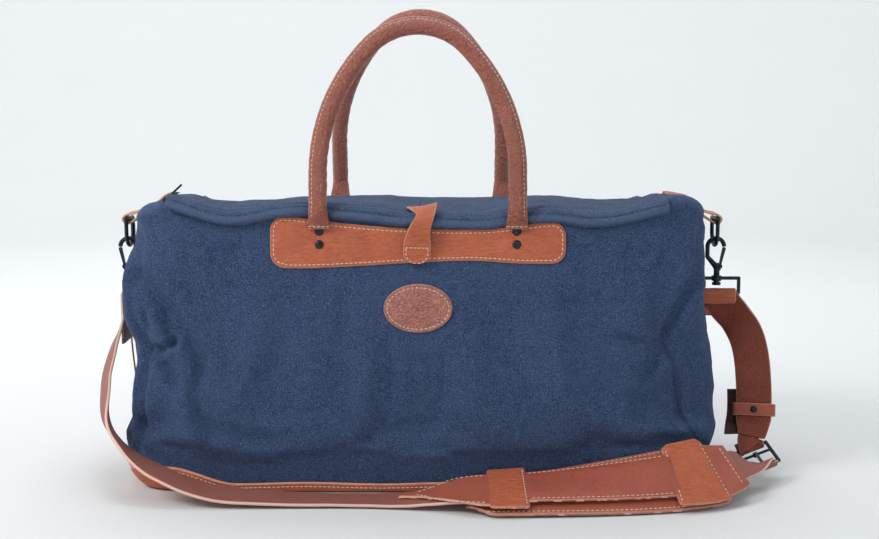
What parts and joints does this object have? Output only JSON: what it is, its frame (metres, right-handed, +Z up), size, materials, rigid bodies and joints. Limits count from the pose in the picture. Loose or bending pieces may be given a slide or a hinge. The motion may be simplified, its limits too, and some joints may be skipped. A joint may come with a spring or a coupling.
{
  "type": "weekender bag",
  "caption": "Soft-sided canvas and leather weekender bag with rolled carry handles, a zipped lid with closure tab, and a hooked-on shoulder strap with pad.",
  "frame": {"origin": "centre of the underside of the leather base, on the floor", "axes": "+X to the bag's right as seen from the front, -Y towards the front face with the oval patch, +Z up"},
  "size_m": [0.6792, 0.3301, 0.4634],
  "materials": {
    "blue_canvas": "stonewashed twill canvas, mottled",
    "tan_leather": "full-grain tan leather, satin, cream stitching",
    "handle_leather": "wrinkled red-brown leather, semi-gloss",
    "strap_leather": "grained brown strap leather with pale raw edges",
    "dark_metal": "gunmetal, semi-gloss",
    "stiff_board": "pressed fibre board",
    "lining_cloth": "plain cotton lining",
    "zip_tape": "woven zip tape with coarse teeth",
    "rope_core": "twisted cotton rope",
    "waxed_cord": "thin waxed leather cord"
  },
  "bodies": {
    "bag": {"front_panel": "blue_canvas", "rear_panel": "blue_canvas", "left_gusset": "blue_canvas", "right_gusset": "blue_canvas", "base_leather": "tan_leather", "base_board": "stiff_board", "lining": "lining_cloth", "front_rim": "blue_canvas", "front_yoke": "tan_leather", "rear_yoke": "tan_leather", "handle_tongues": "handle_leather", "front_rivets": "dark_metal", "rear_rivets": "dark_metal", "rivet_burrs": "dark_metal", "oval_patch": "tan_leather", "snap_plate": "dark_metal", "zip_tape_front": "zip_tape", "zip_end_tabs": "tan_leather", "left_end_tab": "tan_leather", "right_end_tab": "tan_leather", "end_tab_rivets": "dark_metal"},
    "lid": {"lid_panel": "blue_canvas", "zip_tape_lid": "zip_tape", "tab_anchor": "tan_leather"},
    "closure_tab": {"closure_tab": "tan_leather", "snap_magnet": "dark_metal"},
    "front_handle": {"front_handle_cover": "handle_leather", "front_handle_core": "rope_core"},
    "rear_handle": {"rear_handle_cover": "handle_leather", "rear_handle_core": "rope_core"},
    "zip_slider": {"zip_slider": "dark_metal"},
    "zip_pull": {"zip_pull": "dark_metal"},
    "strap": {"long_strap": "strap_leather", "short_strap": "strap_leather", "buckle_frame": "dark_metal", "swivel_loop_right": "dark_metal", "swivel_loop_left": "dark_metal"},
    "buckle_prong": {"buckle_prong": "dark_metal"},
    "strap_keeper": {"strap_keeper": "strap_leather", "keeper_stud": "dark_metal"},
    "shoulder_pad": {"shoulder_pad": "handle_leather"},
    "hook_right": {"hook_right": "dark_metal"},
    "hook_left": {"hook_left": "dark_metal"},
    "gate_right": {"gate_right": "dark_metal"},
    "gate_left": {"gate_left": "dark_metal"},
    "ring_right": {"ring_right": "dark_metal"},
    "ring_left": {"ring_left": "dark_metal"},
    "luggage_tag": {"luggage_tag": "tan_leather", "tag_cord": "waxed_cord"}
  },
  "joints": [
    {"name": "lid_hinge", "type": "hinge", "parent": "bag", "child": "lid", "pos_m": [0, 0.1, 0.266], "axis": [-1, 0, 0], "range_deg": [0, 65]},
    {"name": "closure_tab_flex", "type": "hinge", "parent": "lid", "child": "closure_tab", "pos_m": [0, -0.0605, 0.2672], "axis": [-1, 0, 0], "range_deg": [0, 95]},
    {"name": "front_handle_drop", "type": "hinge", "parent": "bag", "child": "front_handle", "pos_m": [0, -0.126, 0.256], "axis": [1, 0, 0], "range_deg": [-4, 110], "stiffness_Nm_per_rad": 0.6},
    {"name": "rear_handle_drop", "type": "hinge", "parent": "bag", "child": "rear_handle", "pos_m": [0, 0.126, 0.264], "axis": [-1, 0, 0], "range_deg": [-4, 110], "stiffness_Nm_per_rad": 0.6},
    {"name": "zip_slide", "type": "slide", "parent": "bag", "child": "zip_slider", "axis": [0.9994, 0, -0.0358], "range_m": [0, 0.43]},
    {"name": "zip_pull_swing", "type": "hinge", "parent": "zip_slider", "child": "zip_pull", "pos_m": [-0.24384, -0.092, 0.2744], "axis": [0, 1, 0], "range_deg": [-100, 40], "stiffness_Nm_per_rad": 0.002},
    {"name": "strap_swing", "type": "hinge", "parent": "bag", "child": "strap", "pos_m": [0, 0, 0.24], "axis": [-1, 0, 0], "range_deg": [0, 75], "stiffness_Nm_per_rad": 1.5},
    {"name": "buckle_prong_turn", "type": "hinge", "parent": "strap", "child": "buckle_prong", "pos_m": [0.3339, -0.05859, 0.02189], "axis": [-0.9324, -0.2005, -0.3008], "range_deg": [0, 12], "stiffness_Nm_per_rad": 0.002},
    {"name": "strap_keeper_slide", "type": "slide", "parent": "strap", "child": "strap_keeper", "axis": [0.0628, 0.3031, 0.9509], "range_m": [-0.002, 0.006], "stiffness_N_per_m": 20},
    {"name": "shoulder_pad_slide", "type": "slide", "parent": "strap", "child": "shoulder_pad", "axis": [0.9957, 0.0628, 0.0677], "range_m": [-0.005, 0.004], "stiffness_N_per_m": 50},
    {"name": "hook_right_swivel", "type": "hinge", "parent": "strap", "child": "hook_right", "pos_m": [0.302, 0, 0.2], "axis": [0, 0, 1], "range_deg": [-14, 14], "stiffness_Nm_per_rad": 0.01},
    {"name": "hook_left_swivel", "type": "hinge", "parent": "strap", "child": "hook_left", "pos_m": [-0.297, 0, 0.2], "axis": [0, 0, 1], "range_deg": [-14, 14], "stiffness_Nm_per_rad": 0.01},
    {"name": "gate_right_open", "type": "hinge", "parent": "hook_right", "child": "gate_right", "pos_m": [0.3042, 0, 0.2035], "axis": [0, -1, 0], "range_deg": [0, 20], "stiffness_Nm_per_rad": 0.02},
    {"name": "gate_left_open", "type": "hinge", "parent": "hook_left", "child": "gate_left", "pos_m": [-0.2992, 0, 0.2035], "axis": [0, 1, 0], "range_deg": [0, 20], "stiffness_Nm_per_rad": 0.02},
    {"name": "ring_right_swing", "type": "hinge", "parent": "bag", "child": "ring_right", "pos_m": [0.299, 0, 0.252], "axis": [0, 1, 0], "range_deg": [-4, 4], "stiffness_Nm_per_rad": 0.01},
    {"name": "ring_left_swing", "type": "hinge", "parent": "bag", "child": "ring_left", "pos_m": [-0.294, 0, 0.252], "axis": [0, 1, 0], "range_deg": [-4, 4], "stiffness_Nm_per_rad": 0.01},
    {"name": "luggage_tag_swing", "type": "hinge", "parent": "bag", "child": "luggage_tag", "pos_m": [-0.296, 0.03, 0.244], "axis": [1, 0, 0], "range_deg": [-3, 45], "stiffness_Nm_per_rad": 0.02}
  ]
}
